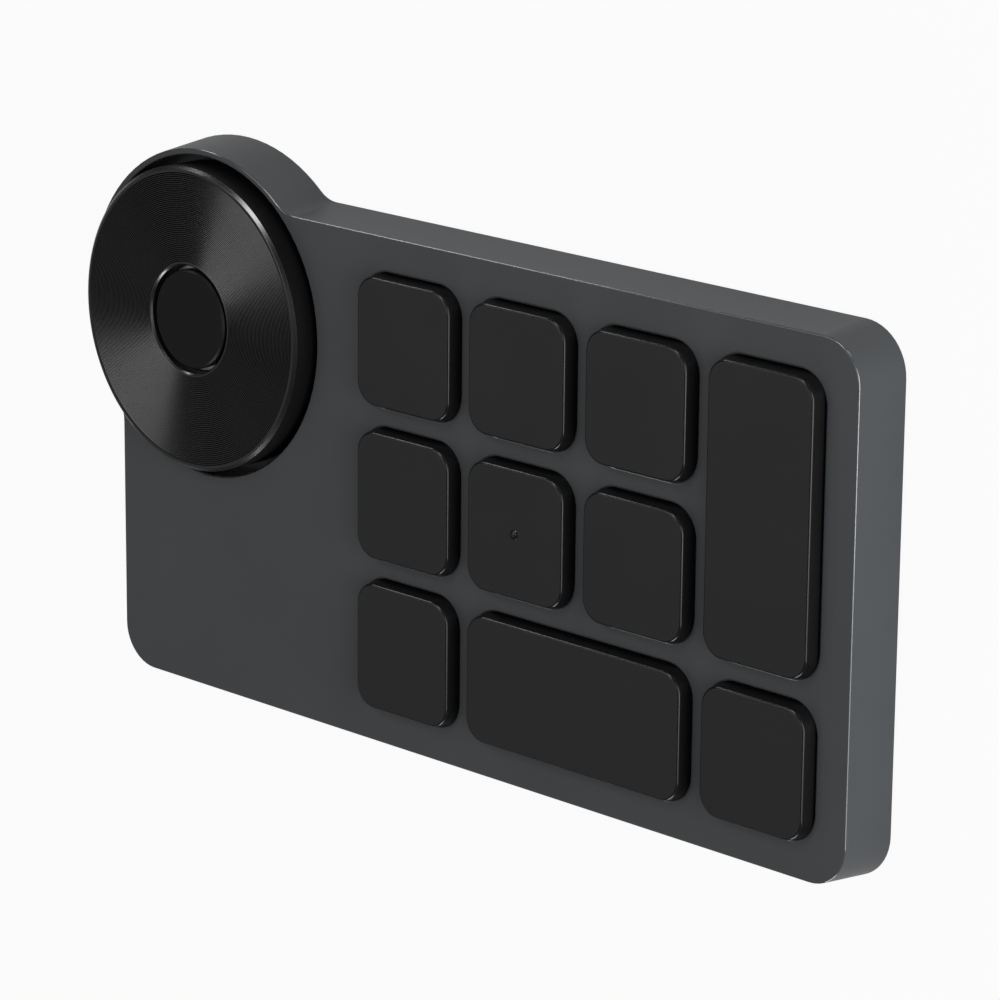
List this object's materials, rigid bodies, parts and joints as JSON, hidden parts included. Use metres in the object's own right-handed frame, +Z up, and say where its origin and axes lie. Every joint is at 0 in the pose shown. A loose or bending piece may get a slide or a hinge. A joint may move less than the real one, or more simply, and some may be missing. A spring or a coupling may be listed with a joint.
{
  "type": "macro keypad with dial",
  "caption": "Slim desk control pad with sprung shortcut keys, a large turning dial on a corner lobe, a button in the dial's middle, a charging socket and a power slider.",
  "frame": {"origin": "middle of the bounding box in X and Y, at the underside of the feet", "axes": "+X along the long side away from the dial, +Y towards the long side that the dial sits at, +Z up out of the keys"},
  "size_m": [0.1308, 0.0729, 0.0107],
  "materials": {
    "shell_coat": "satin metallic coat, dark grey",
    "cover_plastic": "fine matt",
    "key_plastic": "smooth satin, black",
    "dome_rubber": "translucent silicone, matt",
    "foot_rubber": "matt",
    "dial_metal": "black anodised, fine turned grooves",
    "dial_plastic": "moulded, matt",
    "button_plastic": "smooth satin, black",
    "board_laminate": "solder mask, semi gloss",
    "chip_resin": "moulded, matt",
    "frame_plastic": "moulded, matt",
    "steel": "plain zinc plated",
    "magnet": "sintered, matt",
    "socket_steel": "bright drawn",
    "pouch": "pouch foil, satin"
  },
  "bodies": {
    "case": {"top_housing": "shell_coat", "bottom_cover": "cover_plastic", "cover_screws": "steel", "rubber_feet": "foot_rubber", "main_board": "board_laminate", "board_chips": "chip_resin", "guide_plate": "frame_plastic", "hall_sensors": "chip_resin", "dial_post": "frame_plastic", "retaining_clip": "steel", "post_screws": "steel", "index_spring": "steel", "tact_switch": "chip_resin", "usb_shell": "socket_steel", "usb_tongue": "chip_resin", "slide_switch": "chip_resin", "battery_cell": "pouch", "dome_k1": "dome_rubber", "dome_k2": "dome_rubber", "dome_k3": "dome_rubber", "dome_k4": "dome_rubber", "dome_k5": "dome_rubber", "dome_k6": "dome_rubber", "dome_k7": "dome_rubber", "dome_k8": "dome_rubber", "dome_k9": "dome_rubber", "dome_k10": "dome_rubber"},
    "dial": {"dial_cap": "dial_metal", "dial_hub": "dial_plastic", "magnet_ring": "magnet"},
    "button": {"centre_button": "button_plastic", "tact_plunger": "chip_resin"},
    "power_knob": {"power_slider": "key_plastic"},
    "key_k1": {"keycap_k1": "key_plastic"},
    "key_k2": {"keycap_k2": "key_plastic"},
    "key_k3": {"keycap_k3": "key_plastic"},
    "key_k4": {"keycap_k4": "key_plastic"},
    "key_k5": {"keycap_k5": "key_plastic"},
    "key_k6": {"keycap_k6": "key_plastic"},
    "key_k7": {"keycap_k7": "key_plastic"},
    "key_k8": {"keycap_k8": "key_plastic"},
    "key_k9": {"keycap_k9": "key_plastic"},
    "key_k10": {"keycap_k10": "key_plastic"}
  },
  "joints": [
    {"name": "press_k1", "type": "slide", "parent": "case", "child": "key_k1", "axis": [0, 0, -1], "range_m": [0, 0.0012], "stiffness_N_per_m": 260, "springref_m": -0.0008, "deforming": ["dome_k1"]},
    {"name": "press_k2", "type": "slide", "parent": "case", "child": "key_k2", "axis": [0, 0, -1], "range_m": [0, 0.0012], "stiffness_N_per_m": 260, "springref_m": -0.0008, "deforming": ["dome_k2"]},
    {"name": "press_k3", "type": "slide", "parent": "case", "child": "key_k3", "axis": [0, 0, -1], "range_m": [0, 0.0012], "stiffness_N_per_m": 260, "springref_m": -0.0008, "deforming": ["dome_k3"]},
    {"name": "press_k4", "type": "slide", "parent": "case", "child": "key_k4", "axis": [0, 0, -1], "range_m": [0, 0.0012], "stiffness_N_per_m": 420, "springref_m": -0.0008, "deforming": ["dome_k4"]},
    {"name": "press_k5", "type": "slide", "parent": "case", "child": "key_k5", "axis": [0, 0, -1], "range_m": [0, 0.0012], "stiffness_N_per_m": 260, "springref_m": -0.0008, "deforming": ["dome_k5"]},
    {"name": "press_k6", "type": "slide", "parent": "case", "child": "key_k6", "axis": [0, 0, -1], "range_m": [0, 0.0012], "stiffness_N_per_m": 260, "springref_m": -0.0008, "deforming": ["dome_k6"]},
    {"name": "press_k7", "type": "slide", "parent": "case", "child": "key_k7", "axis": [0, 0, -1], "range_m": [0, 0.0012], "stiffness_N_per_m": 260, "springref_m": -0.0008, "deforming": ["dome_k7"]},
    {"name": "press_k8", "type": "slide", "parent": "case", "child": "key_k8", "axis": [0, 0, -1], "range_m": [0, 0.0012], "stiffness_N_per_m": 260, "springref_m": -0.0008, "deforming": ["dome_k8"]},
    {"name": "press_k9", "type": "slide", "parent": "case", "child": "key_k9", "axis": [0, 0, -1], "range_m": [0, 0.0012], "stiffness_N_per_m": 420, "springref_m": -0.0008, "deforming": ["dome_k9"]},
    {"name": "press_k10", "type": "slide", "parent": "case", "child": "key_k10", "axis": [0, 0, -1], "range_m": [0, 0.0012], "stiffness_N_per_m": 260, "springref_m": -0.0008, "deforming": ["dome_k10"]},
    {"name": "dial_turn", "type": "hinge", "parent": "case", "child": "dial", "pos_m": [-0.04308, 0.01388, 0.0075], "axis": [0, 0, 1], "continuous": true},
    {"name": "button_press", "type": "slide", "parent": "case", "child": "button", "axis": [0, 0, -1], "range_m": [0, 0.0003], "stiffness_N_per_m": 1500, "springref_m": -0.0003},
    {"name": "power_slide", "type": "slide", "parent": "case", "child": "power_knob", "axis": [-1, 0, 0], "range_m": [0, 0.002]}
  ]
}
